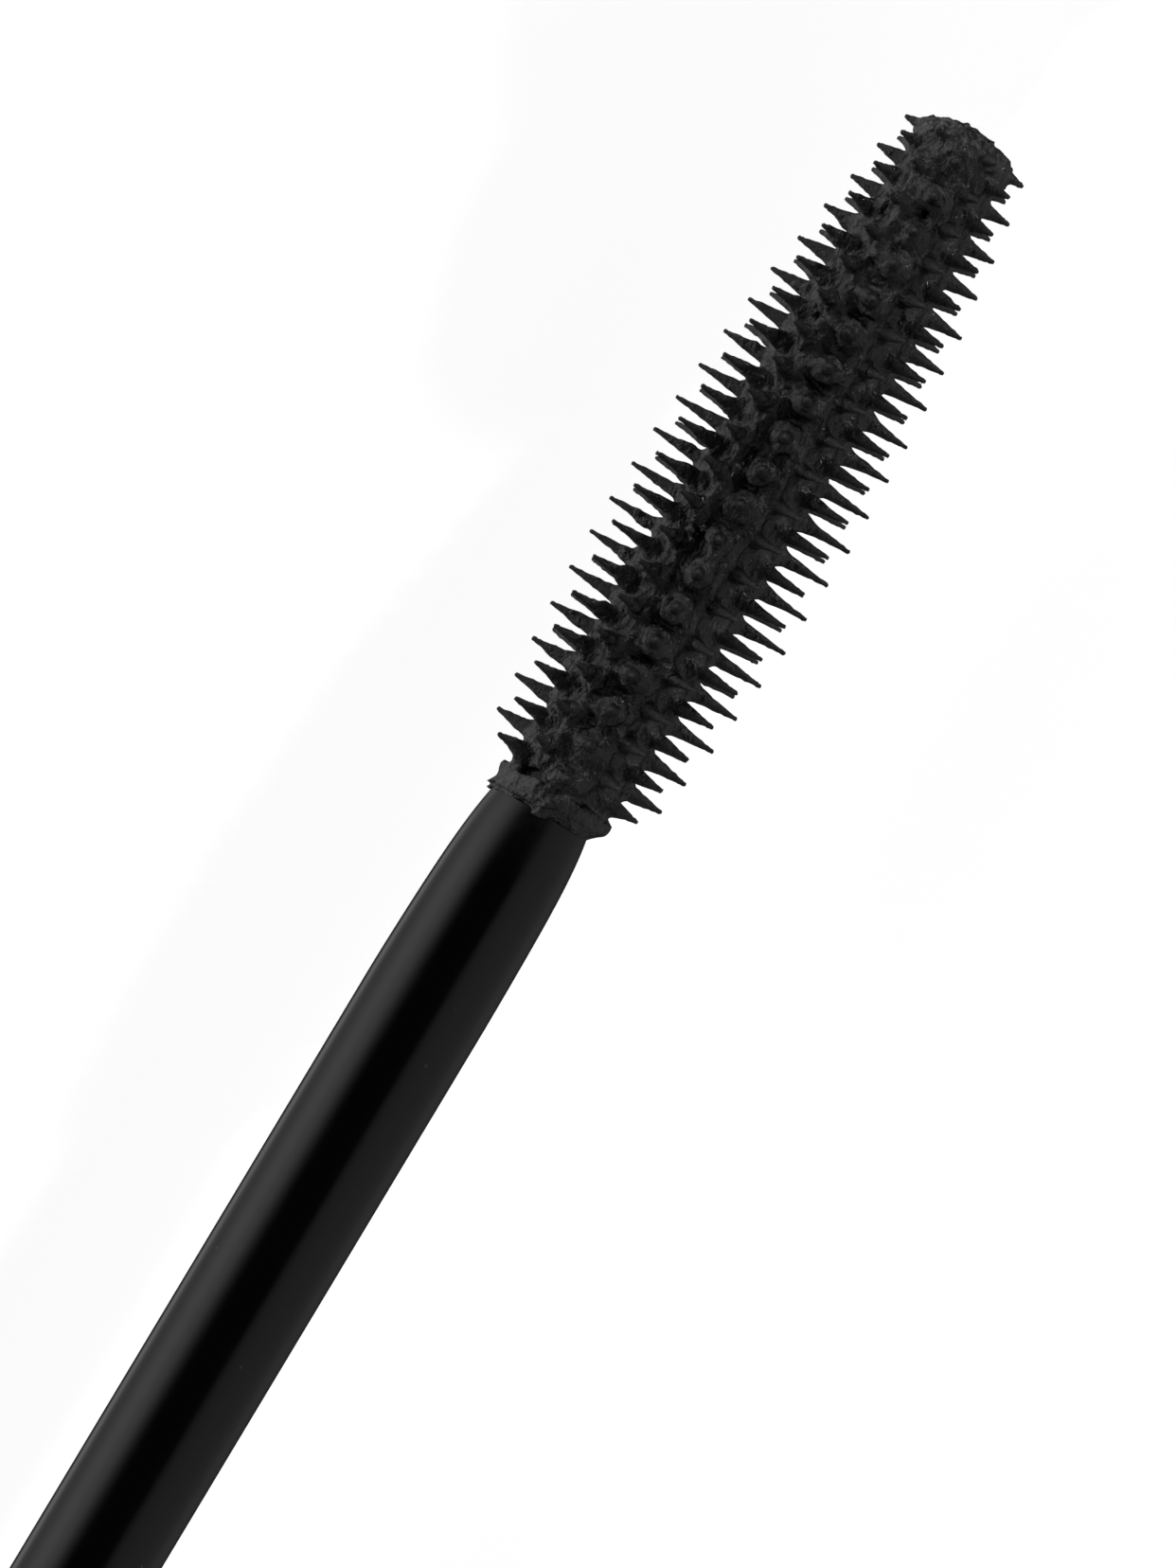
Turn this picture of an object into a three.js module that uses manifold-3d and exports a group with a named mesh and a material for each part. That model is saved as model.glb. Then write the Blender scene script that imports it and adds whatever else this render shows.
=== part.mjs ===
// A mascara with its wand drawn out: a threaded bottle, and a cap that carries the stem and brush.
// Millimetres, +Z up. It lies on its side, with the common axis along X from the cap's end to the base.
// The origin is below the middle of the whole length, on the surface that it lies on.
import * as THREE from 'three';
import { mergeVertices } from 'three/addons/utils/BufferGeometryUtils.js';
import Module from 'manifold-3d';

const wasm = await Module();
wasm.setup();

// ---- Driving dimensions -------------------------------------------------------------------------

// Clearances
const FIT = 0.15; // between pieces that seat in or on each other
const SEAM = 0.3; // between the cap's mouth and the collar when the mascara is closed
const DRAW_GAP = 10; // from the brush's tip to the bottle's mouth as it lies here
const TIP_CLEARANCE = 2; // from the brush's tip to the vial's floor when closed

// Outside
const TUBE_DIAMETER = 17;
const CAP_LENGTH = 50;
const CAP_WALL = 0.9;
const CAP_END_WALL = 1.8;
const COLLAR_WIDTH = 2.5;
const SLEEVE_WALL = 1;
const EDGE = 0.5; // chamfer at the two ends
const SEAM_EDGE = 0.2; // chamfer at the seams
const CAP_END_RIM = 1.95; // round the disc in the cap's end
const DISC_THICKNESS = 0.65;
const DISC_RECESS = 0.9;

// Neck and thread: two starts, right-handed
const NECK_LENGTH = 13;
const NECK_WALL = 1.1;
const THREAD_BEAD = 0.55; // radius of the ridge's section
const THREAD_STARTS = 2;
const THREAD_LEAD = 4;
const THREAD_TURNS = 1.25;
const THREAD_INSET = 2.2; // from the neck's mouth to the middle of the first ridge
const THREAD_RADIAL_GAP = 0.3; // from a ridge's crest to the wall that it faces

// Bottle
const VIAL_WALL = 1;
const VIAL_FLOOR = 1.2;
const SHOULDER_LENGTH = 4.5;
const BULK_START = 5; // from the collar's face to the level of the mascara
const BRUSH_CHANNEL = 9.6;
const PLUG_DEPTH = 4;
const PLUG_WALL = 1.15;
const BASE_THICKNESS = 1.6;
const BASE_RIM = 2.35; // round the label in the base
const LABEL_THICKNESS = 0.15;
const LABEL_RECESS = 0.3;
const WIPER_FLANGE = 0.8;
const WIPER_WALL = 0.9;
const WIPER_TUBE = 8.5;
const WIPER_CONE = 4;
const WIPER_LIP = 0.8;
const WIPER_ORIFICE_GAP = 0.08;

// Cap
const INNER_CAP_WALL = 0.7;
const GASKET_THICKNESS = 1;
const GASKET_STEM_GAP = 0.4;
const WEB_THICKNESS = 1.4;
const SOCKET_LENGTH = 13.6;
const SOCKET_WALL = 1.4;
const INNER_CAP_INSET = 0.5;
const WEIGHT_LENGTH = 8;
const WEIGHT_BORE = 4;

// Stem
const STEM_DIAMETER = 4.46;
const STEM_END_STEP = 0.3; // from the brush's core out to the side of the stem's end
const STEM_SHOWN = 39; // from the cap's mouth to the stem's end
const STEM_TAPER = 7;
const STEM_PLUG_DIAMETER = 3.3;
const BARB_CATCH = 0.25; // how far the barb stands out past the socket's bore
const BARB_LENGTH = 0.8;

// Brush
const PIN_DIAMETER = 1.6;
const PIN_LENGTH = 8;
const CORE_DIAMETER = 2.9;
const CORE_TIP_DIAMETER = 2.2;
const CORE_TIP_INSET = 0.35;
const ROWS = 12;
const BRISTLES_IN_ROW = 19;
const FIRST_BRISTLE = 1.41; // from the stem's end to the first bristle of every second row
const BRISTLE_PITCH = 1.357;
const TIP_REACH = 0.7855; // from the last bristle to the tip of the mascara
const BRISTLE_ROOT_DIAMETER = 0.44;
const BRISTLE_TIP_DIAMETER = 0.2;
const ENVELOPE_START = 3.05; // radius to the bristles' tips at the stem's end
const ENVELOPE_BELLY = 3.91;
const ENVELOPE_TIP = 2.32;
const BELLY_AT = 11.5; // from the stem's end

// Mascara held on the brush
const COAT_BUILD = 0.6; // how far it stands out from the core
const COAT_RING_LENGTH = 0.7;
const COAT_STRIP_WIDTH = 0.26;
const COAT_END = 0.25;

// Facets
const SHELL_SIDES = 36;
const SLIM_SIDES = 24;
const BRISTLE_SIDES = 4;
const RIDGE_STEPS = 24;
const TAPER_STEPS = 6;

// ---- Places along the axis ----------------------------------------------------------------------

// The wand's pieces are measured from the cap's mouth, and the bottle's from the collar's face.
const LAST_BRISTLE = FIRST_BRISTLE + (BRISTLES_IN_ROW - 0.5) * BRISTLE_PITCH;
const BRUSH_TIP = STEM_SHOWN + LAST_BRISTLE + TIP_REACH;
const COLLAR_FACE = BRUSH_TIP + DRAW_GAP + NECK_LENGTH;
const WAND_TRAVEL = COLLAR_FACE - SEAM;

const VIAL_INSIDE_END = WAND_TRAVEL + BRUSH_TIP + TIP_CLEARANCE - COLLAR_FACE;
const VIAL_END = VIAL_INSIDE_END + VIAL_FLOOR;
const SLEEVE_START = COLLAR_WIDTH + FIT;
const SLEEVE_END = VIAL_END + FIT + PLUG_DEPTH;
const BASE_START = SLEEVE_END + FIT;
const BASE_END = BASE_START + BASE_THICKNESS;

const WIPER_FACE_CLOSED = SEAM - NECK_LENGTH - FIT - WIPER_FLANGE;
const GASKET_FRONT = WIPER_FACE_CLOSED - FIT;
const GASKET_BACK = GASKET_FRONT - GASKET_THICKNESS;
const WEB_FRONT = GASKET_BACK - FIT;
const WEB_BACK = WEB_FRONT - WEB_THICKNESS;
const SOCKET_END = WEB_BACK - SOCKET_LENGTH;

// ---- Radii that fit each other ------------------------------------------------------------------

const TUBE_RADIUS = TUBE_DIAMETER / 2;
const STEM_RADIUS = STEM_DIAMETER / 2;
const CAP_INSIDE = TUBE_RADIUS - CAP_WALL;
const INNER_CAP_OUTSIDE = CAP_INSIDE - FIT;
const INNER_CAP_BORE = INNER_CAP_OUTSIDE - INNER_CAP_WALL;
const THREAD_MAJOR = INNER_CAP_BORE - THREAD_RADIAL_GAP;
const NECK_RADIUS = THREAD_MAJOR - THREAD_BEAD;
const NECK_BORE = NECK_RADIUS - NECK_WALL;
const LAND_RADIUS = THREAD_MAJOR + FIT;
const SLEEVE_INSIDE = TUBE_RADIUS - SLEEVE_WALL;
const VIAL_OUTSIDE = SLEEVE_INSIDE - FIT;
const VIAL_INSIDE = VIAL_OUTSIDE - VIAL_WALL;
const WIPER_OUTSIDE = NECK_BORE - FIT;
const WIPER_ORIFICE = STEM_RADIUS + WIPER_ORIFICE_GAP;
const SOCKET_BORE = STEM_PLUG_DIAMETER / 2 + FIT;
const CORE_RADIUS = CORE_DIAMETER / 2;
const STEM_END_RADIUS = CORE_RADIUS + STEM_END_STEP;
const COAT_OUTSIDE = CORE_RADIUS + COAT_BUILD;
const DISC_RECESS_RADIUS = TUBE_RADIUS - CAP_END_RIM;
const LABEL_RECESS_RADIUS = TUBE_RADIUS - BASE_RIM;

// ---- Materials ----------------------------------------------------------------------------------

const material = (color, roughness, metalness) => new THREE.MeshStandardMaterial({ color, roughness, metalness });
const lacquer = () => material(0x0b0b0c, 0.18, 0);
const gunmetal = () => material(0x3b3b3e, 0.3, 1);
const stemPlastic = () => material(0x070707, 0.12, 0);
const naturalPlastic = () => material(0xc9c9c4, 0.45, 0);
const clearPlastic = () => material(0x8d8f90, 0.15, 0);
const elastomer = () => material(0x121212, 0.6, 0);
const mascara = () => material(0x0e0e0e, 0.4, 0);
const steel = () => material(0x9a9a9c, 0.35, 1);
const foam = () => material(0xe4e2dc, 0.8, 0);
const paper = () => material(0xd9d9d6, 0.7, 0);

// ---- Geometry helpers ---------------------------------------------------------------------------

const MERGE_DISTANCE = 1e-4;

// Turns an outline of [x, radius] points about the X axis. The facets' middles lie on the radius given,
// and one of them faces straight down. The outline starts and ends on the axis, or closes on itself.
function turned(points, sides) {
  const corner = 1 / Math.cos(Math.PI / sides);
  const outline = points.map(([x, radius]) => new THREE.Vector2(radius * corner, x));
  if (THREE.ShapeUtils.area(outline) < 0) {
    outline.reverse();
  }
  if (outline[0].x > 0) {
    outline.push(outline[0].clone());
  }
  const geometry = new THREE.LatheGeometry(outline, sides, Math.PI / sides);
  return geometry.rotateZ(-Math.PI / 2);
}

// A closed geometry as a solid for joining: only positions, with shared vertices merged.
function solidOf(geometry) {
  const bare = geometry.clone();
  bare.deleteAttribute('normal');
  bare.deleteAttribute('uv');
  const merged = mergeVertices(bare, MERGE_DISTANCE);
  const corners = merged.index.array;
  const triangles = [];
  for (let i = 0; i < corners.length; i += 3) {
    const [a, b, c] = corners.slice(i, i + 3);
    if (a !== b && b !== c && c !== a) {
      triangles.push(a, b, c);
    }
  }
  const vertProperties = new Float32Array(merged.attributes.position.array);
  return new wasm.Manifold(new wasm.Mesh({ numProp: 3, vertProperties, triVerts: new Uint32Array(triangles) }));
}

function geometryOf(solid) {
  const { vertProperties, triVerts } = solid.getMesh();
  const geometry = new THREE.BufferGeometry();
  geometry.setAttribute('position', new THREE.BufferAttribute(vertProperties, 3));
  geometry.setIndex(new THREE.BufferAttribute(triVerts, 1));
  geometry.computeVertexNormals();
  return geometry;
}

function joined(geometries) {
  let solid = solidOf(geometries[0]);
  for (const geometry of geometries.slice(1)) {
    solid = solid.add(solidOf(geometry));
  }
  return geometryOf(solid);
}

function piece(name, geometry, look) {
  const mesh = new THREE.Mesh(geometry, look);
  mesh.name = name;
  return mesh;
}

// A right-handed helix about the X axis.
class Helix extends THREE.Curve {
  constructor(radius, start, startAngle) {
    super();
    this.radius = radius;
    this.start = start;
    this.startAngle = startAngle;
  }

  getPoint(t, target = new THREE.Vector3()) {
    const turns = THREAD_TURNS * t;
    const angle = this.startAngle + 2 * Math.PI * turns;
    const x = this.start + THREAD_LEAD * turns;
    return target.set(x, this.radius * Math.cos(angle), this.radius * Math.sin(angle));
  }
}

// The thread's ridges: one round bead for each start, along a helix at the given radius.
function threadRidges(radius, start) {
  const section = new THREE.Shape().absarc(0, 0, THREAD_BEAD, 0, 2 * Math.PI);
  return Array.from({ length: THREAD_STARTS }, (_, n) => {
    const extrudePath = new Helix(radius, start, (2 * Math.PI * n) / THREAD_STARTS);
    return new THREE.ExtrudeGeometry(section, {
      extrudePath,
      steps: RIDGE_STEPS,
      curveSegments: 3,
      bevelEnabled: false,
    });
  });
}

// ---- Cap ----------------------------------------------------------------------------------------

function outerCap() {
  const end = -CAP_LENGTH;
  return turned(
    [
      [end + DISC_RECESS, 0],
      [end + DISC_RECESS, DISC_RECESS_RADIUS],
      [end, DISC_RECESS_RADIUS],
      [end, TUBE_RADIUS - EDGE],
      [end + EDGE, TUBE_RADIUS],
      [-SEAM_EDGE, TUBE_RADIUS],
      [0, TUBE_RADIUS - SEAM_EDGE],
      [0, CAP_INSIDE],
      [end + CAP_END_WALL, CAP_INSIDE],
      [end + CAP_END_WALL, 0],
    ],
    SHELL_SIDES
  );
}

function capEndDisc() {
  const radius = DISC_RECESS_RADIUS - FIT;
  const back = -CAP_LENGTH + DISC_RECESS - FIT;
  const front = back - DISC_THICKNESS;
  return turned(
    [
      [back, 0],
      [back, radius],
      [front + SEAM_EDGE, radius],
      [front, radius - SEAM_EDGE],
      [front, 0],
    ],
    SHELL_SIDES
  );
}

// A steel ring at the cap's end, which gives it its heft.
function capWeight() {
  const outside = CAP_INSIDE - 2 * FIT;
  const back = -CAP_LENGTH + CAP_END_WALL + 2 * FIT;
  const front = back + WEIGHT_LENGTH;
  return turned(
    [
      [back, WEIGHT_BORE / 2],
      [back, outside - EDGE],
      [back + EDGE, outside],
      [front - EDGE, outside],
      [front, outside - EDGE],
      [front, WEIGHT_BORE / 2],
    ],
    SHELL_SIDES
  );
}

// The threaded liner, with the socket that holds the stem behind its web.
function innerCap() {
  const body = turned(
    [
      [-INNER_CAP_INSET, INNER_CAP_BORE],
      [-INNER_CAP_INSET, INNER_CAP_OUTSIDE],
      [WEB_BACK, INNER_CAP_OUTSIDE],
      [WEB_BACK, SOCKET_BORE + SOCKET_WALL],
      [SOCKET_END, SOCKET_BORE + SOCKET_WALL],
      [SOCKET_END, SOCKET_BORE],
      [WEB_FRONT, SOCKET_BORE],
      [WEB_FRONT, INNER_CAP_BORE],
    ],
    SHELL_SIDES
  );
  // closed, these ridges lie midway between the neck's
  const pitch = THREAD_LEAD / THREAD_STARTS;
  const start = SEAM - NECK_LENGTH + THREAD_INSET + pitch / 2;
  return joined([body, ...threadRidges(INNER_CAP_BORE - FIT / 2, start)]);
}

function capGasket() {
  const inside = STEM_RADIUS + GASKET_STEM_GAP;
  const outside = NECK_RADIUS + FIT;
  return turned(
    [
      [GASKET_BACK, inside],
      [GASKET_BACK, outside],
      [GASKET_FRONT, outside],
      [GASKET_FRONT, inside],
    ],
    SHELL_SIDES
  );
}

// ---- Stem ---------------------------------------------------------------------------------------

// The end narrows along a quarter of a long ellipse, cut off where it meets the end's diameter.
function stemTaper() {
  const endRatio = STEM_END_RADIUS / STEM_RADIUS;
  const reach = STEM_TAPER / Math.sqrt(1 - endRatio ** 2);
  return Array.from({ length: TAPER_STEPS + 1 }, (_, n) => {
    const along = (STEM_TAPER * n) / TAPER_STEPS;
    return [STEM_SHOWN - STEM_TAPER + along, STEM_RADIUS * Math.sqrt(1 - (along / reach) ** 2)];
  });
}

function stem() {
  const plug = STEM_PLUG_DIAMETER / 2;
  const barb = SOCKET_END - FIT;
  const boreRadius = PIN_DIAMETER / 2 + FIT;
  const boreEnd = STEM_SHOWN - PIN_LENGTH - FIT;
  return turned(
    [
      [barb - 2 * BARB_LENGTH, 0],
      [barb - 2 * BARB_LENGTH, plug - FIT],
      [barb - BARB_LENGTH, SOCKET_BORE + BARB_CATCH],
      [barb, SOCKET_BORE + BARB_CATCH],
      [barb, plug],
      [WEB_FRONT + FIT, plug],
      [WEB_FRONT + FIT, STEM_RADIUS],
      ...stemTaper(),
      [STEM_SHOWN, boreRadius],
      [boreEnd, boreRadius],
      [boreEnd, 0],
    ],
    SLIM_SIDES
  );
}

// ---- Brush --------------------------------------------------------------------------------------

// Radius to the bristles' tips at a distance from the stem's end: a barrel that narrows to the tip.
function envelope(along) {
  if (along < BELLY_AT) {
    return ENVELOPE_BELLY - (ENVELOPE_BELLY - ENVELOPE_START) * (1 - along / BELLY_AT) ** 2;
  }
  const fall = (along - BELLY_AT) / (LAST_BRISTLE - BELLY_AT);
  return ENVELOPE_BELLY - (ENVELOPE_BELLY - ENVELOPE_TIP) * fall ** 1.9;
}

function bristle(along, angle) {
  const root = CORE_TIP_DIAMETER / 4;
  const height = envelope(along) - root;
  const geometry = new THREE.CylinderGeometry(
    BRISTLE_TIP_DIAMETER / 2,
    BRISTLE_ROOT_DIAMETER / 2,
    height,
    BRISTLE_SIDES
  );
  geometry.translate(0, root + height / 2, 0);
  geometry.rotateX(angle);
  return geometry.translate(STEM_SHOWN + along, 0, 0);
}

// Rows of bristles all round, each set half a pitch along from its neighbours.
function bristles() {
  const found = [];
  for (let row = 0; row < ROWS; row += 1) {
    const stagger = row % 2 === 0 ? BRISTLE_PITCH / 2 : 0;
    for (let n = 0; n < BRISTLES_IN_ROW; n += 1) {
      const along = FIRST_BRISTLE + stagger + n * BRISTLE_PITCH;
      found.push(bristle(along, (2 * Math.PI * row) / ROWS));
    }
  }
  return found;
}

// The core has one flat for each row, so that a bristle stands on the middle of a flat.
function brush() {
  const tip = BRUSH_TIP - COAT_END - FIT;
  const core = turned(
    [
      [STEM_SHOWN - PIN_LENGTH, 0],
      [STEM_SHOWN - PIN_LENGTH, PIN_DIAMETER / 2],
      [STEM_SHOWN + FIT, PIN_DIAMETER / 2],
      [STEM_SHOWN + FIT, CORE_RADIUS],
      [tip - CORE_TIP_INSET, CORE_TIP_DIAMETER / 2],
      [tip, CORE_TIP_DIAMETER / 2 - CORE_TIP_INSET],
      [tip, 0],
    ],
    ROWS
  );
  return joined([core, ...bristles()]);
}

// The mascara on the brush: a ring at the stem's end, a strip between each two rows, and the tip.
function mascaraCoat() {
  const inside = CORE_RADIUS + FIT;
  const ringStart = STEM_SHOWN + FIT;
  const ringEnd = ringStart + COAT_RING_LENGTH;
  const ring = turned(
    [
      [ringStart, inside],
      [ringStart, COAT_OUTSIDE],
      [ringEnd, COAT_OUTSIDE],
      [ringEnd, inside],
    ],
    SLIM_SIDES
  );
  const end = turned(
    [
      [BRUSH_TIP - COAT_END, 0],
      [BRUSH_TIP - COAT_END, COAT_OUTSIDE],
      [BRUSH_TIP, COAT_OUTSIDE],
      [BRUSH_TIP, 0],
    ],
    SLIM_SIDES
  );
  // each strip runs from the middle of the ring to the middle of the end
  const stripStart = ringStart + COAT_RING_LENGTH / 2;
  const stripEnd = BRUSH_TIP - COAT_END / 2;
  const thickness = COAT_BUILD - 2 * FIT;
  const strips = Array.from({ length: ROWS }, (_, row) => {
    const strip = new THREE.BoxGeometry(stripEnd - stripStart, thickness, COAT_STRIP_WIDTH);
    strip.translate((stripStart + stripEnd) / 2, COAT_OUTSIDE - thickness / 2, 0);
    return strip.rotateX((2 * Math.PI * (row + 0.5)) / ROWS);
  });
  return joined([ring, end, ...strips]);
}

// ---- Bottle -------------------------------------------------------------------------------------

function collarRing() {
  const inside = LAND_RADIUS + FIT;
  return turned(
    [
      [0, inside],
      [0, TUBE_RADIUS - SEAM_EDGE],
      [SEAM_EDGE, TUBE_RADIUS],
      [COLLAR_WIDTH - SEAM_EDGE, TUBE_RADIUS],
      [COLLAR_WIDTH, TUBE_RADIUS - SEAM_EDGE],
      [COLLAR_WIDTH, inside],
    ],
    SHELL_SIDES
  );
}

function innerVial() {
  const body = turned(
    [
      [VIAL_INSIDE_END, 0],
      [VIAL_INSIDE_END, VIAL_INSIDE],
      [SHOULDER_LENGTH, VIAL_INSIDE],
      [VIAL_WALL, NECK_BORE],
      [-NECK_LENGTH, NECK_BORE],
      [-NECK_LENGTH, NECK_RADIUS],
      [0, NECK_RADIUS],
      [0, LAND_RADIUS],
      [SLEEVE_START, LAND_RADIUS],
      [SLEEVE_START, VIAL_OUTSIDE],
      [VIAL_END - EDGE, VIAL_OUTSIDE],
      [VIAL_END, VIAL_OUTSIDE - EDGE],
      [VIAL_END, 0],
    ],
    SHELL_SIDES
  );
  return joined([body, ...threadRidges(NECK_RADIUS, -NECK_LENGTH + THREAD_INSET)]);
}

// The wiper: a flange on the neck's rim, and a tube that narrows to the lip round the stem.
function wiper() {
  const tubeStart = -NECK_LENGTH - FIT;
  const tubeEnd = tubeStart + WIPER_TUBE;
  const lip = tubeEnd + WIPER_CONE;
  const inside = WIPER_OUTSIDE - WIPER_WALL;
  return turned(
    [
      [tubeStart - WIPER_FLANGE, inside],
      [tubeStart - WIPER_FLANGE, NECK_RADIUS - FIT],
      [tubeStart, NECK_RADIUS - FIT],
      [tubeStart, WIPER_OUTSIDE],
      [tubeEnd, WIPER_OUTSIDE],
      [lip, WIPER_ORIFICE + WIPER_WALL / 3],
      [lip + WIPER_LIP, WIPER_ORIFICE + WIPER_WALL / 3],
      [lip + WIPER_LIP, WIPER_ORIFICE],
      [lip, WIPER_ORIFICE],
      [tubeEnd, inside],
    ],
    SLIM_SIDES
  );
}

function mascaraBulk() {
  const end = VIAL_INSIDE_END - FIT;
  return turned(
    [
      [BULK_START, BRUSH_CHANNEL / 2],
      [BULK_START, VIAL_INSIDE - FIT],
      [end, VIAL_INSIDE - FIT],
      [end, BRUSH_CHANNEL / 2],
    ],
    SLIM_SIDES
  );
}

function outerSleeve() {
  return turned(
    [
      [SLEEVE_START, SLEEVE_INSIDE],
      [SLEEVE_START, TUBE_RADIUS - SEAM_EDGE],
      [SLEEVE_START + SEAM_EDGE, TUBE_RADIUS],
      [SLEEVE_END - SEAM_EDGE, TUBE_RADIUS],
      [SLEEVE_END, TUBE_RADIUS - SEAM_EDGE],
      [SLEEVE_END, SLEEVE_INSIDE],
    ],
    SHELL_SIDES
  );
}

// The base: a skirt inside the sleeve, below the vial, and a flange that the bottle stands on.
function basePlug() {
  const skirt = SLEEVE_INSIDE - FIT;
  return turned(
    [
      [BASE_START, 0],
      [BASE_START, skirt - PLUG_WALL],
      [VIAL_END + FIT, skirt - PLUG_WALL],
      [VIAL_END + FIT, skirt],
      [BASE_START, skirt],
      [BASE_START, TUBE_RADIUS],
      [BASE_END - EDGE, TUBE_RADIUS],
      [BASE_END, TUBE_RADIUS - EDGE],
      [BASE_END, LABEL_RECESS_RADIUS],
      [BASE_END - LABEL_RECESS, LABEL_RECESS_RADIUS],
      [BASE_END - LABEL_RECESS, 0],
    ],
    SHELL_SIDES
  );
}

function shadeLabel() {
  const middle = BASE_END - LABEL_RECESS / 2;
  const radius = LABEL_RECESS_RADIUS - FIT;
  const geometry = new THREE.CylinderGeometry(radius, radius, LABEL_THICKNESS, SHELL_SIDES);
  return geometry.rotateZ(-Math.PI / 2).translate(middle, 0, 0);
}

// ---- Assembly -----------------------------------------------------------------------------------

const wand = new THREE.Group();
wand.add(
  piece('outer_cap', outerCap(), lacquer()),
  piece('cap_end_disc', capEndDisc(), gunmetal()),
  piece('cap_weight', capWeight(), steel()),
  piece('inner_cap', innerCap(), naturalPlastic()),
  piece('cap_gasket', capGasket(), foam()),
  piece('stem', stem(), stemPlastic()),
  piece('brush', brush(), elastomer()),
  piece('mascara_coat', mascaraCoat(), mascara())
);

const bottle = new THREE.Group();
bottle.add(
  piece('collar_ring', collarRing(), gunmetal()),
  piece('inner_vial', innerVial(), clearPlastic()),
  piece('wiper', wiper(), naturalPlastic()),
  piece('mascara_bulk', mascaraBulk(), mascara()),
  piece('outer_sleeve', outerSleeve(), lacquer()),
  piece('base_plug', basePlug(), lacquer()),
  piece('shade_label', shadeLabel(), paper())
);
bottle.position.x = COLLAR_FACE;

const object = new THREE.Group();
object.add(wand, bottle);
object.position.set((CAP_LENGTH - COLLAR_FACE - BASE_END) / 2, 0, TUBE_RADIUS);

export default object;
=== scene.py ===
"""Looks for an open mascara: the drawn-out wand and the bottle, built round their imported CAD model.

Everything is in metres, in the CAD frame: the common axis runs along X, from the cap's end to the base.
"""

import math

import bpy
import numpy as np
from mathutils import Matrix, Vector


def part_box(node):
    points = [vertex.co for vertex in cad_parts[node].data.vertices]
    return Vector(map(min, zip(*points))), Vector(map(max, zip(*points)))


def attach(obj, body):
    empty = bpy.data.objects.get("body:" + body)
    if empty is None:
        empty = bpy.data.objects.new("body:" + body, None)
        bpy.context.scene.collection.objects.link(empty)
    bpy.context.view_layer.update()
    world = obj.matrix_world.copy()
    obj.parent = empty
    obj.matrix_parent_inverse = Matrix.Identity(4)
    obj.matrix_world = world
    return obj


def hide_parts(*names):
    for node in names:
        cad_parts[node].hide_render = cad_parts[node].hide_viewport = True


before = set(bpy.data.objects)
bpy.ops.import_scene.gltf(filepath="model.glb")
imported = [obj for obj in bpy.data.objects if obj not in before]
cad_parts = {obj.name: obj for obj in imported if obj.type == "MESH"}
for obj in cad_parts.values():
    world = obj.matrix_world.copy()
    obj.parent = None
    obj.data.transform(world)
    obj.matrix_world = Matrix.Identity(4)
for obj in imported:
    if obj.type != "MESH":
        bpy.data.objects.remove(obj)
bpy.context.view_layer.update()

MM = 0.001
SIDES = 128


# ---- Places and sizes, from the frame --------------------------------------------------------------


def span(node):
    """Where a CAD node starts and ends along X."""
    low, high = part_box(node)
    return low.x, high.x


def radius_of(node):
    low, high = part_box(node)
    return (high.y - low.y) / 2


AXIS_Z = sum(corner.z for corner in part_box("outer_cap")) / 2
TUBE_RADIUS = radius_of("outer_cap")
STEM_RADIUS = radius_of("stem") * math.cos(math.pi / 24)
STEM_END = span("stem")[1]
ROOT = STEM_END + 1.0 * MM  # where the brush comes out of its collar of mascara
FIT = 0.15 * MM


# ---- Meshes ----------------------------------------------------------------------------------------


def make_object(name, vertices, faces, material):
    mesh = bpy.data.meshes.new(name)
    mesh.from_pydata(np.asarray(vertices).tolist(), [], faces)
    mesh.validate()
    mesh.shade_smooth()
    mesh.materials.append(material)
    made = bpy.data.objects.new(name, mesh)
    bpy.context.scene.collection.objects.link(made)
    return made


def settle(piece, body, node):
    """The piece moves with a body and takes the place of a CAD node, which it hides."""
    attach(piece, body)
    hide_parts(node)


def rounded(corners, closed, steps=4):
    """An outline of (x, radius) from corners of (x, radius, fillet).

    Each fillet has a point close on either side of it, which keeps the flats beside it flat when shaded.
    """
    count = len(corners)
    outline = []
    for i, (x, r, fillet) in enumerate(corners):
        here = np.array([x, r])
        at_end = not closed and i in (0, count - 1)
        if at_end or fillet == 0:
            outline.append(here)
            continue
        before = np.array(corners[i - 1][:2]) - here
        after = np.array(corners[(i + 1) % count][:2]) - here
        reach = min(fillet, 0.4 * np.linalg.norm(before), 0.4 * np.linalg.norm(after))
        before = before / np.linalg.norm(before) * reach
        after = after / np.linalg.norm(after) * reach
        outline.append(here + 1.2 * before)
        for t in np.linspace(0, 1, steps + 1):
            outline.append(here + (1 - t) ** 2 * before + t**2 * after)
        outline.append(here + 1.2 * after)
    return np.array(outline)


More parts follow.
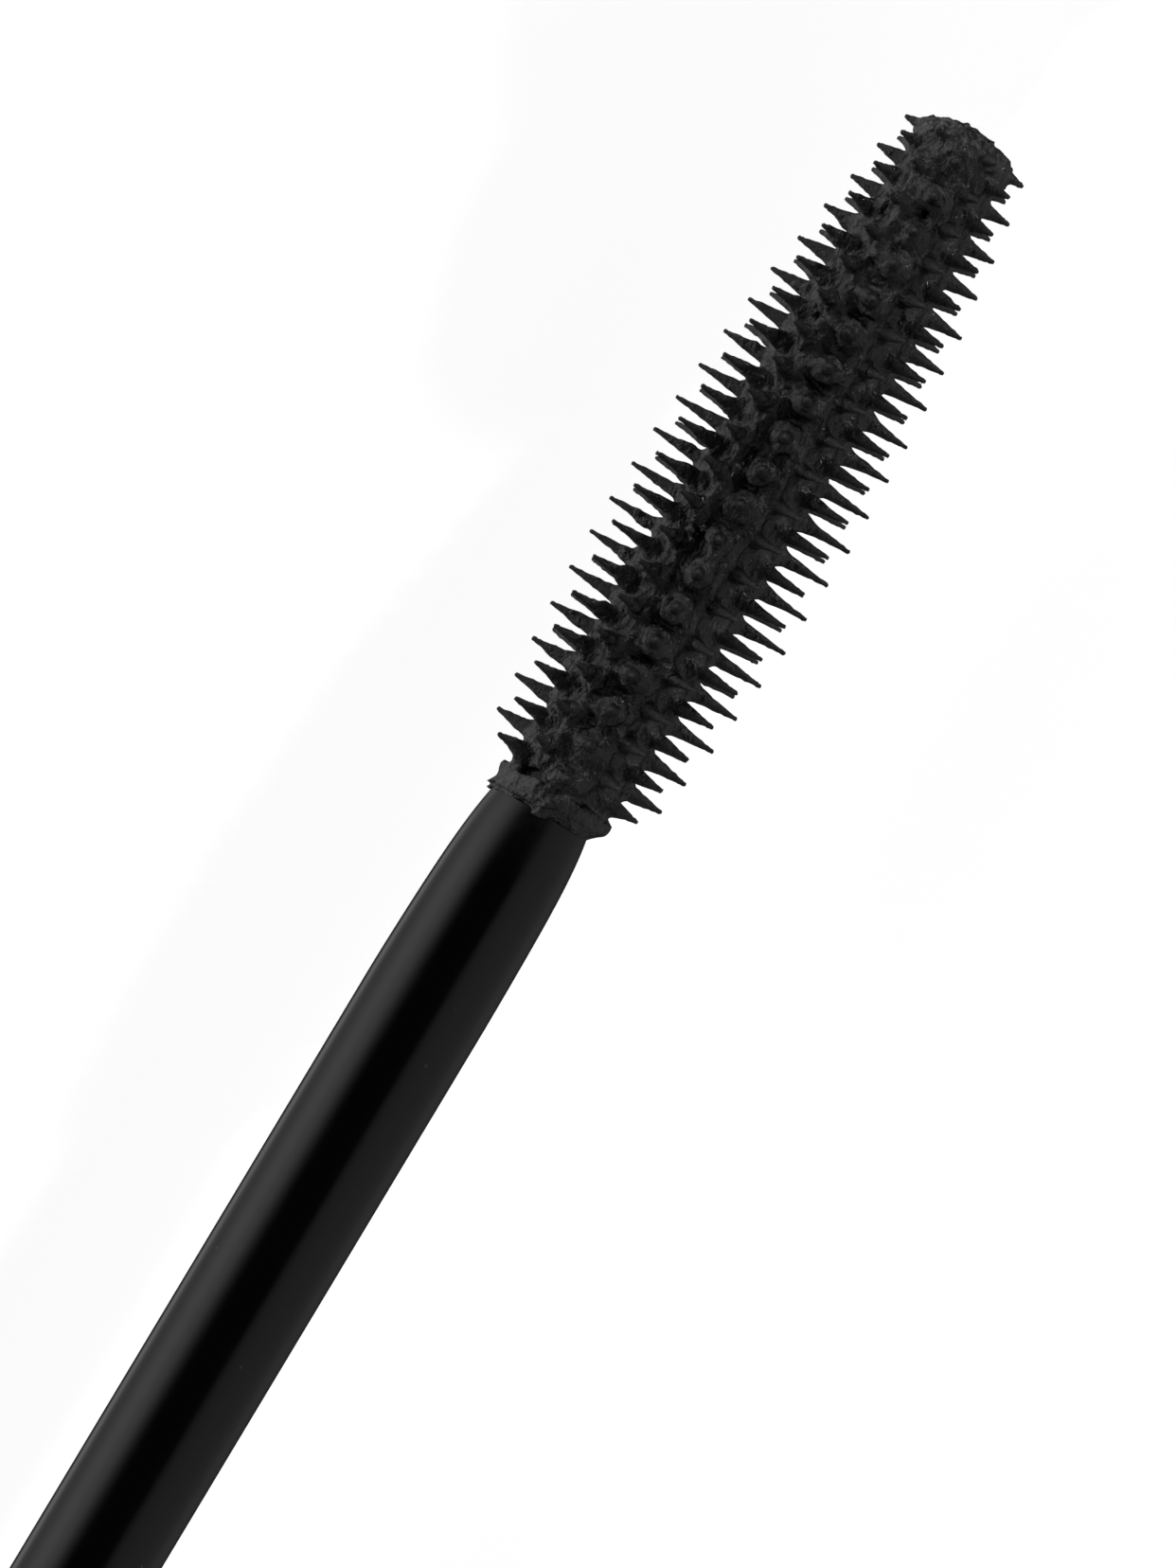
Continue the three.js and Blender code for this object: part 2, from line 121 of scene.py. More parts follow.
def lathe(outline, closed, sides=SIDES, swell=None):
    """Vertices and faces of an outline turned about the common axis. swell(x, angle) adds to the radius."""
    outline = np.asarray(outline, float)
    following = np.roll(outline, -1, axis=0)
    turn = (outline[:, 0] * following[:, 1] - following[:, 0] * outline[:, 1]).sum()
    if turn > 0:
        outline = outline[::-1]
    angle = np.arange(sides) * 2 * math.pi / sides
    vertices, rings = [], []
    for x, r in outline:
        if r < 1e-9:
            rings.append([len(vertices)] * sides)
            vertices.append((x, 0, AXIS_Z))
            continue
        rings.append(list(range(len(vertices), len(vertices) + sides)))
        radius = np.full(sides, r) if swell is None else r + swell(x, r, angle)
        around = zip(radius * np.cos(angle), AXIS_Z + radius * np.sin(angle))
        vertices.extend((x, y, z) for y, z in around)
    faces = []
    for i in range(len(rings) if closed else len(rings) - 1):
        near, far = rings[i], rings[(i + 1) % len(rings)]
        for j in range(sides):
            k = (j + 1) % sides
            face = [near[j], near[k], far[k], far[j]]
            faces.append([v for n, v in enumerate(face) if v not in face[:n]])
    return vertices, faces


def turned(name, corners, closed, material, steps=4, sides=SIDES, swell=None):
    vertices, faces = lathe(rounded(corners, closed, steps), closed, sides, swell)
    return make_object(name, vertices, faces, material)


def stepped(x0, x1, r, step):
    """Corners along a straight stretch, close enough together to carry a swelling."""
    count = max(2, round(abs(x1 - x0) / step))
    return [(x, r, 0) for x in np.linspace(x0, x1, count + 1)[1:-1]]


# ---- Materials -------------------------------------------------------------------------------------


def smoothstep(low, high, value):
    t = np.clip((value - low) / (high - low), 0, 1)
    return t * t * (3 - 2 * t)


class Look:
    """A node material under construction: a Principled shader and short ways to add texture nodes."""

    def __init__(self, name, **sockets):
        self.material = bpy.data.materials.new(name)
        self.material.use_nodes = True
        self.nodes = self.material.node_tree.nodes
        self.links = self.material.node_tree.links
        self.shader = self.nodes["Principled BSDF"]
        self.place = self.nodes.new("ShaderNodeTexCoord").outputs["Object"]
        for socket, value in sockets.items():
            self.shader.inputs[socket.replace("_", " ")].default_value = value

    def stretched(self, scale):
        mapping = self.nodes.new("ShaderNodeMapping")
        mapping.inputs["Scale"].default_value = scale
        self.links.new(self.place, mapping.inputs["Vector"])
        return mapping.outputs["Vector"]

    def noise(self, scale, detail=3, roughness=0.5, distortion=0.0, place=None):
        node = self.nodes.new("ShaderNodeTexNoise")
        for socket, value in (
            ("Scale", scale),
            ("Detail", detail),
            ("Roughness", roughness),
            ("Distortion", distortion),
        ):
            node.inputs[socket].default_value = value
        self.links.new(place or self.place, node.inputs["Vector"])
        return node.outputs["Fac"]

    def specks(self, scale, size):
        """1 inside sparse small spots, 0 elsewhere."""
        node = self.nodes.new("ShaderNodeTexVoronoi")
        node.inputs["Scale"].default_value = scale
        self.links.new(self.place, node.inputs["Vector"])
        return self.levels(node.outputs["Distance"], ((0, 1), (size, 1), (size * 1.3, 0)))

    def levels(self, source, stops):
        """A value from stops of (position, value)."""
        ramp = self.nodes.new("ShaderNodeValToRGB")
        elements = ramp.color_ramp.elements
        while len(elements) < len(stops):
            elements.new(0.5)
        for element, (position, value) in zip(elements, stops):
            element.position = position
            shade = value if isinstance(value, tuple) else (value, value, value)
            element.color = (*shade, 1)
        self.links.new(source, ramp.inputs["Fac"])
        return ramp.outputs["Color"]

    def math(self, operation, a, b):
        node = self.nodes.new("ShaderNodeMath")
        node.operation = operation
        for socket, value in zip(node.inputs, (a, b)):
            if isinstance(value, (int, float)):
                socket.default_value = value
            else:
                self.links.new(value, socket)
        return node.outputs["Value"]

    def mix(self, factor, a, b):
        node = self.nodes.new("ShaderNodeMix")
        node.data_type = "RGBA"
        for socket, value in (("Factor", factor), ("A", a), ("B", b)):
            found = [s for s in node.inputs if s.name == socket and s.type in ("RGBA", "VALUE")]
            target = found[0] if socket == "Factor" else [s for s in found if s.type == "RGBA"][0]
            if isinstance(value, tuple):
                target.default_value = (*value, 1)
            else:
                self.links.new(value, target)
        return [s for s in node.outputs if s.type == "RGBA"][0]

    def radius(self):
        """Distance from the common axis, in metres."""
        parts = self.nodes.new("ShaderNodeSeparateXYZ")
        self.links.new(self.place, parts.inputs["Vector"])
        y2 = self.math("POWER", parts.outputs["Y"], 2.0)
        z = self.math("SUBTRACT", parts.outputs["Z"], AXIS_Z)
        return self.math("SQRT", self.math("ADD", y2, self.math("MULTIPLY", z, z)), 0.0)

    def towards_end(self, end, length):
        """0 up to a length before a place along X, rising to 1 there."""
        parts = self.nodes.new("ShaderNodeSeparateXYZ")
        self.links.new(self.place, parts.inputs["Vector"])
        node = self.nodes.new("ShaderNodeMapRange")
        node.inputs["From Min"].default_value = end - length
        node.inputs["From Max"].default_value = end
        self.links.new(parts.outputs["X"], node.inputs["Value"])
        return node.outputs["Result"]

    def colour(self, source):
        self.links.new(source, self.shader.inputs["Base Color"])

    def rough(self, source):
        self.links.new(source, self.shader.inputs["Roughness"])

    def bump(self, layers):
        """Layers of (height source, distance in metres), one on top of the other."""
        normal = None
        for height, distance in layers:
            node = self.nodes.new("ShaderNodeBump")
            node.inputs["Strength"].default_value = 1
            node.inputs["Distance"].default_value = distance
            self.links.new(height, node.inputs["Height"])
            if normal:
                self.links.new(normal, node.inputs["Normal"])
            normal = node.outputs["Normal"]
        self.links.new(normal, self.shader.inputs["Normal"])


def lacquer_look():
    """High-gloss black, with a trace of orange peel, hairline scuffs and fine dust."""
    look = Look("black_lacquer", IOR=1.5)
    scuffs = look.noise(900, detail=5, place=look.stretched((0.35, 1, 1)))
    look.rough(look.levels(scuffs, ((0.35, 0.07), (0.6, 0.11), (0.75, 0.2))))
    dust = look.specks(420, 0.05)
    look.colour(look.mix(dust, (0.0045, 0.0045, 0.005), (0.03, 0.03, 0.03)))
    look.bump([(look.noise(260, detail=1), 0.004 * MM), (dust, 0.004 * MM)])
    return look.material


def gunmetal_look():
    """Dark metallised plastic with a fine spun finish."""
    look = Look("gunmetal", Metallic=1.0)
    rings = look.nodes.new("ShaderNodeTexNoise")
    rings.noise_dimensions = "1D"
    rings.inputs["Scale"].default_value = 14000
    rings.inputs["Detail"].default_value = 3
    look.links.new(look.radius(), rings.inputs["W"])
    cloud = look.noise(300, detail=4)
    look.colour(look.mix(cloud, (0.3, 0.3, 0.31), (0.4, 0.4, 0.41)))
    look.rough(look.levels(look.noise(2200, detail=3), ((0.3, 0.2), (0.7, 0.34))))
    look.bump([(rings.outputs["Fac"], 0.0025 * MM)])
    return look.material


def stem_look():
    """Polished black plastic: a soft moulding wave, fine dust and the odd hairline scratch."""
    look = Look("stem_black", IOR=1.48)
    polished = look.levels(look.noise(700, detail=4), ((0.3, 0.13), (0.7, 0.19)))
    filmed = look.levels(look.noise(3000, detail=4), ((0.3, 0.3), (0.7, 0.4)))
    look.rough(look.mix(look.towards_end(STEM_END, 3 * MM), polished, filmed))
    dust = look.specks(640, 0.035)
    look.colour(look.mix(dust, (0.003, 0.003, 0.003), (0.045, 0.045, 0.045)))
    wave = look.noise(420, detail=2, place=look.stretched((0.25, 1, 1)))
    grain = look.noise(5200, detail=2)
    look.bump([(wave, 0.006 * MM), (grain, 0.0006 * MM), (dust, 0.006 * MM)])
    return look.material


def liner_look():
    """Natural moulded plastic, stained by mascara close to the stem."""
    look = Look("liner_natural", IOR=1.5)
    look.shader.inputs["Subsurface Weight"].default_value = 0.15
    look.shader.inputs["Subsurface Radius"].default_value = (0.5 * MM, 0.5 * MM, 0.5 * MM)
    stain = look.math("ADD", look.radius(), look.math("MULTIPLY", look.noise(900, detail=5), 3 * MM))
    stained = look.levels(look.math("MULTIPLY", stain, 100), ((0.44, 0), (0.5, 1)))
    clean = look.mix(look.noise(500), (0.56, 0.56, 0.53), (0.66, 0.66, 0.63))
    look.colour(look.mix(stained, (0.012, 0.012, 0.012), clean))
    look.rough(look.levels(look.noise(1500, detail=4), ((0.3, 0.32), (0.7, 0.5))))
    look.bump([(look.noise(1800, detail=4), 0.006 * MM)])
    return look.material


def vial_look():
    """Smoky clear plastic, frosted a little by moulding, with mascara showing through from inside."""
    look = Look("vial_clear", IOR=1.5)
    look.shader.inputs["Transmission Weight"].default_value = 0.25
    film = look.noise(900, detail=5, distortion=0.4)
    look.colour(look.mix(look.levels(film, ((0.35, 0), (0.7, 1))), (0.2, 0.205, 0.21), (0.13, 0.134, 0.138)))
    look.rough(look.levels(look.noise(1300, detail=3), ((0.3, 0.16), (0.7, 0.3))))
    look.bump([(look.noise(700, detail=3), 0.008 * MM)])
    return look.material


def mascara_look(name, painted_glint_end=None):
    """Black paste: grainy where it has dried, with small wet glints, and towards one end a painted highlight of
    pale flecks standing in for glints.
    """
    look = Look(name, IOR=1.72)
    patches = look.levels(look.noise(2200, detail=4, roughness=0.6), ((0.35, 0), (0.65, 1)))
    wet = look.levels(look.noise(3000, detail=3, distortion=0.5), ((0.44, 0), (0.54, 1)))
    look.rough(look.mix(wet, (0.3, 0.3, 0.3), (0.12, 0.12, 0.12)))
    shade = look.mix(patches, (0.0015, 0.0015, 0.0015), (0.008, 0.008, 0.008))
    if painted_glint_end:
        # painted highlight: pale flecks in the colour towards the brush's end, standing in for glints on the
        # wet tip
        painted_glint_flecks = look.levels(look.noise(5200, detail=3), ((0.47, 0), (0.6, 1)))
        painted_glint_flecks = look.math("MULTIPLY", painted_glint_flecks, look.towards_end(painted_glint_end, 1.8 * MM))
        shade = look.mix(painted_glint_flecks, shade, (0.12, 0.12, 0.12))
    look.colour(shade)
    crumbs = look.noise(3000, detail=3)
    flakes = look.noise(9000, detail=3, roughness=0.6)
    grain = look.noise(26000, detail=2, roughness=0.6)
    look.bump([(crumbs, 0.16 * MM), (flakes, 0.05 * MM), (grain, 0.015 * MM)])
    return look.material


def elastomer_look():
    """The brush's moulded black elastomer under a thin film of mascara."""
    look = Look("brush_elastomer", IOR=1.75)
    film = look.noise(4200, detail=4, roughness=0.65)
    grain = look.noise(14000, detail=3, roughness=0.7)
    look.colour(look.mix(film, (0.006, 0.006, 0.006), (0.02, 0.02, 0.02)))
    look.rough(look.levels(film, ((0.35, 0.3), (0.65, 0.55))))
    look.bump([(film, 0.08 * MM), (grain, 0.05 * MM)])
    return look.material


def steel_look():
    """Turned steel: fine rings round the axis."""
    look = Look("weight_steel", Metallic=1.0)
    rings = look.noise(5000, detail=3, place=look.stretched((1, 0.05, 0.05)))
    look.colour(look.mix(rings, (0.4, 0.4, 0.41), (0.52, 0.52, 0.53)))
    look.rough(look.levels(rings, ((0.3, 0.22), (0.7, 0.38))))
    look.bump([(rings, 0.004 * MM)])
    return look.material


def foam_look():
    """Closed-cell foam, white, marked by the rim that it seals."""
    look = Look("gasket_foam", IOR=1.4)
    cells = look.nodes.new("ShaderNodeTexVoronoi")
    cells.inputs["Scale"].default_value = 7000
    look.links.new(look.place, cells.inputs["Vector"])
    look.colour(look.mix(look.noise(800, detail=4), (0.6, 0.59, 0.56), (0.76, 0.75, 0.72)))
    look.rough(look.levels(look.noise(2000), ((0.3, 0.7), (0.7, 0.88))))
    look.bump([(cells.outputs["Distance"], 0.03 * MM)])
    return look.material


def paper_look():
    """Matt label paper, blank, with its fibres."""
    look = Look("label_paper", IOR=1.45)
    fibres = look.noise(5200, detail=6, roughness=0.7, place=look.stretched((1, 1, 0.3)))
    look.colour(look.mix(fibres, (0.6, 0.6, 0.58), (0.74, 0.74, 0.72)))
    look.rough(look.levels(fibres, ((0.3, 0.62), (0.7, 0.78))))
    look.bump([(fibres, 0.006 * MM)])
    return look.material


LACQUER = lacquer_look()
GUNMETAL = gunmetal_look()
LINER = liner_look()
PASTE = mascara_look("mascara_black")

# ---- Threads ---------------------------------------------------------------------------------------

THREAD_LEAD = 4.0 * MM
THREAD_STARTS = 2
THREAD_LENGTH = 5.0 * MM
THREAD_INSET = 2.2 * MM
RIDGE_HEIGHT = 0.5 * MM
RIDGE_TOP = 0.14 * MM
RIDGE_BASE = 0.5 * MM
THREAD_STEP = 0.12 * MM


def ridges(start):
    """How far a right-handed thread stands out at a place, as a share of its height."""

    def height(x, angle):
        along = (x - start) / THREAD_LEAD - angle / (2 * math.pi)
        off = np.abs((along * THREAD_STARTS + 0.5) % 1 - 0.5) / THREAD_STARTS * THREAD_LEAD
        ends = smoothstep(-0.5 * MM, 0.5 * MM, x - start)
        ends = ends * smoothstep(-0.5 * MM, 0.5 * MM, start + THREAD_LENGTH - x)
        return (1 - smoothstep(RIDGE_TOP, RIDGE_BASE, off)) * ends

    return height


# ---- Cap -------------------------------------------------------------------------------------------

CAP_START, CAP_MOUTH = span("outer_cap")
CAP_INSIDE = TUBE_RADIUS - 0.9 * MM
CAP_END_WALL = 1.8 * MM
CAP_END_RIM = 1.95 * MM
CAP_RECESS = 0.9 * MM


def outer_cap():
    rim = TUBE_RADIUS - CAP_END_RIM
    corners = [
        (CAP_START + CAP_RECESS, 0, 0),
        (CAP_START + CAP_RECESS, rim, 0.08 * MM),
        (CAP_START, rim, 0.12 * MM),
        (CAP_START, TUBE_RADIUS, 0.9 * MM),
        (CAP_MOUTH, TUBE_RADIUS, 0.22 * MM),
        (CAP_MOUTH, CAP_INSIDE, 0.15 * MM),
        (CAP_START + CAP_END_WALL, CAP_INSIDE, 0.5 * MM),
        (CAP_START + CAP_END_WALL, 0, 0),
    ]
    piece = turned("outer_cap_shell", corners, False, LACQUER, steps=8)
    settle(piece, "wand", "outer_cap")


def cap_end_disc():
    front, back = span("cap_end_disc")
    radius = radius_of("cap_end_disc")
    dish = 0.12 * MM  # the face is very slightly hollow
    corners = [
        (back, 0, 0),
        (back, radius, 0.05 * MM),
        (front, radius, 0.18 * MM),
        (front + dish / 3, radius * 0.8, 1.5 * MM),
        (front + dish, 0, 0),
    ]
    piece = turned("cap_end_disc_face", corners, False, GUNMETAL, steps=6)
    settle(piece, "wand", "cap_end_disc")


def cap_weight():
    start, end = span("cap_weight")
    radius = radius_of("cap_weight")
    bore = 2.0 * MM
    groove = 0.25 * MM
    middle = (start + end) / 2
    corners = [
        (start, bore, 0.3 * MM),
        (start, radius, 0.5 * MM),
        (middle - 2 * groove, radius, 0.05 * MM),
        (middle - groove, radius - groove, 0.05 * MM),
        (middle + groove, radius - groove, 0.05 * MM),
        (middle + 2 * groove, radius, 0.05 * MM),
        (end, radius, 0.5 * MM),
        (end, bore, 0.3 * MM),
    ]
    piece = turned("cap_weight_ring", corners, True, steel_look())
    settle(piece, "wand", "cap_weight")


WEB_FRONT = span("cap_gasket")[0] - FIT
WEB_BACK = WEB_FRONT - 1.4 * MM
SOCKET_BORE = 1.8 * MM
SOCKET_RADIUS = 3.2 * MM
INNER_CAP_BORE = radius_of("inner_cap") - 0.7 * MM


def inner_cap():
    socket_end, mouth = span("inner_cap")
    outside = radius_of("inner_cap")
    # closed, these ridges lie midway between the neck's
    closed_neck = CAP_MOUTH + 0.3 * MM - 13 * MM
    start = closed_neck + THREAD_INSET + THREAD_LEAD / THREAD_STARTS / 2
    thread = ridges(start)

    def swell(x, r, angle):
        inside_bore = abs(r - INNER_CAP_BORE) < 0.05 * MM
        return -RIDGE_HEIGHT * thread(x, angle) if inside_bore else np.zeros_like(angle)

    corners = [
        (mouth, INNER_CAP_BORE, 0.1 * MM),
        (mouth, outside, 0.15 * MM),
        (WEB_BACK, outside, 0.4 * MM),
        (WEB_BACK, SOCKET_RADIUS, 0.3 * MM),
        (socket_end, SOCKET_RADIUS, 0.25 * MM),
        (socket_end, SOCKET_BORE, 0.1 * MM),
        (WEB_FRONT, SOCKET_BORE, 0.1 * MM),
        (WEB_FRONT, INNER_CAP_BORE, 0.2 * MM),
        *stepped(WEB_FRONT + MM, mouth - MM, INNER_CAP_BORE, THREAD_STEP),
    ]
    piece = turned("inner_cap_liner", corners, True, LINER, swell=swell)
    settle(piece, "wand", "inner_cap")


def cap_gasket():
    start, end = span("cap_gasket")
    outside = radius_of("cap_gasket")
    inside = STEM_RADIUS + 0.4 * MM
    dent = 0.08 * MM  # the mark of the rim that it seals
    corners = [
        (start, inside, 0.1 * MM),
        (start, outside, 0.12 * MM),
        (end, outside, 0.12 * MM),
        (end, outside - 0.4 * MM, 0.1 * MM),
        (end - dent, outside - 0.8 * MM, 0.15 * MM),
        (end - dent, outside - 1.6 * MM, 0.15 * MM),
        (end, outside - 2 * MM, 0.1 * MM),
        (end, inside, 0.1 * MM),
    ]
    piece = turned("cap_gasket_seal", corners, True, foam_look())
    settle(piece, "gasket", "cap_gasket")


# ---- Stem ------------------------------------------------------------------------------------------

STEM_TAPER = 7.5 * MM
STEM_NARROWING = 0.23 * MM
STEM_TURN_IN = 0.22 * MM
STEM_FULLER = 0.1 * MM  # how much less it narrows on one side
TAPER_STEPS = 28
PIN_RADIUS = 0.8 * MM
PIN_LENGTH = 8.0 * MM
BARB_CATCH = 0.25 * MM


def stem_radius(share):
    """The stem's radius at a share of its taper: a slow start, then a quicker turn in to the end."""
    return STEM_RADIUS - STEM_NARROWING * share**1.5 - STEM_TURN_IN * share**5.5


def stem():
    barb_end = span("stem")[0]
    socket_end = span("inner_cap")[0]
    plug = 1.65 * MM
    barb = SOCKET_BORE + BARB_CATCH
    bore = PIN_RADIUS + FIT
    taper = [
        (STEM_END - STEM_TAPER * (1 - share), stem_radius(share), 0)
        for share in np.linspace(0, 1, TAPER_STEPS)[:-1]
    ]
    corners = [
        (barb_end, 0, 0),
        (barb_end, plug - FIT, 0.2 * MM),
        (socket_end - FIT - 0.8 * MM, barb, 0.2 * MM),
        (socket_end - FIT, barb, 0.1 * MM),
        (socket_end - FIT, plug, 0.05 * MM),
        (WEB_FRONT + FIT, plug, 0.05 * MM),
        (WEB_FRONT + FIT, STEM_RADIUS, 0.2 * MM),
        *taper,
        (STEM_END, stem_radius(1), 0.14 * MM),
        (STEM_END, bore, 0.05 * MM),
        (STEM_END - PIN_LENGTH - FIT, bore, 0.05 * MM),
        (STEM_END - PIN_LENGTH - FIT, 0, 0),
    ]
    taper_start = STEM_END - STEM_TAPER

    def swell(x, r, angle):
        share = max(0, (x - taper_start) / STEM_TAPER) if r > PIN_RADIUS * 2 else 0
        return STEM_FULLER * share**1.5 * (1 - np.cos(angle)) / 2

    piece = turned("stem_rod", corners, False, stem_look(), swell=swell)
    settle(piece, "wand", "stem")


# ---- Brush -----------------------------------------------------------------------------------------

# These are in millimetres from the brush's root, along its axis.
ROWS = 12
BRISTLES_IN_ROW = 19
BRISTLE_PITCH = 1.357
FIRST_BRISTLE = 0.41
LAST_BRISTLE = FIRST_BRISTLE + (BRISTLES_IN_ROW - 0.5) * BRISTLE_PITCH
BELLY_AT = 10.5
ENVELOPE_START = 3.12
ENVELOPE_BELLY = 3.91
ENVELOPE_TIP = 2.32
BRUSH_LENGTH = 26.3


def envelope(along):
    """Radius to the bristles' tips: a barrel that narrows to the tip."""
    if along < BELLY_AT:
        return ENVELOPE_BELLY - (ENVELOPE_BELLY - ENVELOPE_START) * (1 - along / BELLY_AT) ** 2
    fall = (along - BELLY_AT) / (LAST_BRISTLE - BELLY_AT)
    return ENVELOPE_BELLY - (ENVELOPE_BELLY - ENVELOPE_TIP) * fall**1.9


def lean(along):
    """How far the brush stands to the side of the stem's axis: it sits a little askew in its socket."""
    return 0.25 + 0.03 * along - 0.0003 * along**2 - 0.2 * np.exp(-(np.maximum(along, -2) + 1) / 0.6)


def placed(points):
    """Brush points (along, y, z) in millimetres, bent to the brush's lean and put in the frame."""
    points = np.asarray(points, float)
    along = points[:, 0]
    slope = np.where(along > -0.2, 0.03 - 0.0006 * along, 0)
    out = points * MM
    out[:, 0] += ROOT + slope * points[:, 1] * MM
    out[:, 1] -= lean(along) * MM
    out[:, 2] += AXIS_Z
    return out


# The paste heaped round a bristle's foot: half its width round the core, half its length along it, its
# height and how far it is set to one side. Row 0 points sideways and row 3 straight up.
MOUNDS = {2: (0.4, 0.77, 0.72, -0.13), 3: (0.6, 0.6, 0.76, 0), 4: (0.28, 0.72, 0.42, 0.34)}
OTHER_MOUND = (0.36, 0.42, 0.45, 0)
MOUND_DEPTH = 0.15  # below the coated core's surface
RING_ROW = 3  # where a mound ends in a rounded rim
RING_RADIUS = 0.38
RING_HEIGHT = 0.45
RING_THICKNESS = 0.16

# How fast the paste on a bristle thickens below its tip: by the distance, and by its square.
THICKENING = {1: (0.125, 0.025), 2: (0.15, 0.035)}
OTHER_THICKENING = (0.118, 0.008)
STUBBY = 0.3  # how much faster again on the shortest bristles
FILM_RADIUS = 0.03
BARE_TIP = 0.25  # how far below the tip the paste stops
BOW_START = 1.5
ASKEW = 0.008  # radians
BOW = 0.016

COAT_RADIUS = 1.9


def coated_core(along):
    return COAT_RADIUS - 0.35 * smoothstep(17, 26, along)


class Bristle:
    """One bristle: where it stands, which way it points and how long it is."""

    def __init__(self, row, number, rng):
        stagger = BRISTLE_PITCH / 2 if row % 2 == 0 else 0
        self.along = FIRST_BRISTLE + stagger + number * BRISTLE_PITCH
        angle = 2 * math.pi * row / ROWS + rng.normal(0, ASKEW)
        tilt = rng.normal(0, ASKEW)
        self.up = np.array([math.sin(tilt), math.cos(tilt) * math.cos(angle), math.cos(tilt) * math.sin(angle)])
        self.side = np.cross(self.up, (1, 0, 0))
        self.side /= np.linalg.norm(self.side)
        self.front = np.cross(self.side, self.up)
        self.tip = envelope(self.along) + rng.normal(0, 0.02)
        self.bow = rng.normal(0, BOW, 2)
        thickening, quickening = THICKENING.get(row, OTHER_THICKENING)
        self.room = (self.tip - coated_core(self.along)) / (ENVELOPE_BELLY - COAT_RADIUS)
        self.stubby = STUBBY * max(0, 1 - self.room)
        self.film = (thickening + self.stubby + rng.uniform(-0.015, 0.015), quickening)
        self.floor = coated_core(self.along) - MOUND_DEPTH
        self.mound = np.array(MOUNDS.get(row, OTHER_MOUND)) * rng.normal(1, 0.12, 4)
        self.mound[2] *= math.sqrt(self.room)
        self.ring = (RING_HEIGHT + rng.normal(0, 0.08)) * self.room if row == RING_ROW else 0

    def centre(self, height):
        """The bristle's middle at a distance from the brush's axis, bowed a little at its tip."""
        height = np.asarray(height, float)
        share = np.clip((height - BOW_START) / (self.tip - BOW_START), 0, 1) ** 2
        base = np.array([self.along, 0, 0])
        bowed = self.bow[0] * self.side + self.bow[1] * self.front
        return base + height[..., None] * self.up + share[..., None] * bowed


RNG = np.random.default_rng(12)
BRISTLES = [Bristle(row, n, RNG) for row in range(ROWS) for n in range(BRISTLES_IN_ROW)]

BRISTLE_SIDES = 12
BRISTLE_RINGS = 18
CORE_RADIUS = 1.45
CORE_TIP_RADIUS = 1.1
BRISTLE_TIP_RADIUS = 0.06
BRISTLE_TAPER = 0.104
BEAD_HEIGHT = 0.008  # a slight bead just below the tip
BEAD_AT = 0.07


def bare_radius(below, stubby):
    """A bristle's own radius at a distance below its blunt tip."""
    bead = BEAD_HEIGHT * np.exp(-((below / BEAD_AT - 1) ** 2))
    return BRISTLE_TIP_RADIUS + (BRISTLE_TAPER + stubby) * below + bead


def brush():
    """The moulded brush: its pin in the stem, its core and every bristle."""
    tip = BRUSH_LENGTH - 0.4
    corners = [
        (-1 - PIN_LENGTH / MM, 0, 0),
        (-1 - PIN_LENGTH / MM, PIN_RADIUS / MM, 0.2),
        (-0.85, PIN_RADIUS / MM, 0.05),
        (-0.85, CORE_RADIUS, 0.1),
        (tip, CORE_TIP_RADIUS, 0.35),
        (tip, 0, 0),
    ]
    turned_core, faces = lathe(rounded(corners, False), False, 48)
    points = np.array(turned_core) - (0, 0, AXIS_Z)
    vertices = list(points)
    rng = np.random.default_rng(5)
    turn = np.arange(BRISTLE_SIDES) * 2 * math.pi / BRISTLE_SIDES
    for bristle in BRISTLES:
        start = len(vertices)
        heights = bristle.tip - (bristle.tip - 0.9) * np.linspace(1, 0, BRISTLE_RINGS) ** 1.6
        rough_edge = rng.normal(0, 1, (BRISTLE_RINGS, BRISTLE_SIDES))
        for n, height in enumerate(heights):
            radius = bare_radius(bristle.tip - height, bristle.stubby) + 0.011 * rough_edge[n]
            ring = (
                bristle.centre(height)
                + np.outer(radius * np.cos(turn), bristle.side)
                + np.outer(radius * np.sin(turn), bristle.front)
            )
            vertices.extend(ring)
        vertices.append(bristle.centre(bristle.tip + 0.03))
        for n in range(BRISTLE_RINGS - 1):
            for j in range(BRISTLE_SIDES):
                k = (j + 1) % BRISTLE_SIDES
                low, high = start + n * BRISTLE_SIDES, start + (n + 1) * BRISTLE_SIDES
                faces.append([low + j, low + k, high + k, high + j])
        top = start + (BRISTLE_RINGS - 1) * BRISTLE_SIDES
        for j in range(BRISTLE_SIDES):
            faces.append([top + j, top + (j + 1) % BRISTLE_SIDES, len(vertices) - 1])
        faces.append([start + j for j in reversed(range(BRISTLE_SIDES))])
    piece = make_object("brush_moulding", placed(vertices), faces, elastomer_look())
    settle(piece, "wand", "brush")


# ---- Mascara on the brush --------------------------------------------------------------------------

VOXEL = 0.08
FIELD_LOW = np.array([-1.6, -3.85, -3.85])
FIELD_HIGH = np.array([BRUSH_LENGTH + 0.45, 3.85, 3.85])
SHAFT_START = -0.3
TOP_THINNING = 0.12
CREVICE_AT = -0.02  # where the coat is pinched in, between the collar and the first bristles
CREVICE_WIDTH = 0.22
CREVICE_DEPTH = 0.25
CREVICE_DRY = 0.3  # how much deeper on the dry side
END_INSET = 0.2
END_SLANT = 0.03
END_ROUNDING = 0.55
END_WEB_AT = 0.72  # back from the end
END_WEB_FLAT = 0.08
END_WEB_RADIUS = 1.6
END_WEB_ROUNDING = 0.15
RAGGED_SCALE = 0.55
LEDGE_AT = -0.62
LEDGE_HALF_LENGTH = 0.37
LEDGE_RADIUS = 2.04
LEDGE_CHAMFER = 0.35
SKIRT_START = -1.16
SKIRT_END = -0.5
SKIRT_RADIUS = 1.82
SKIRT_SLOPE = 0.2
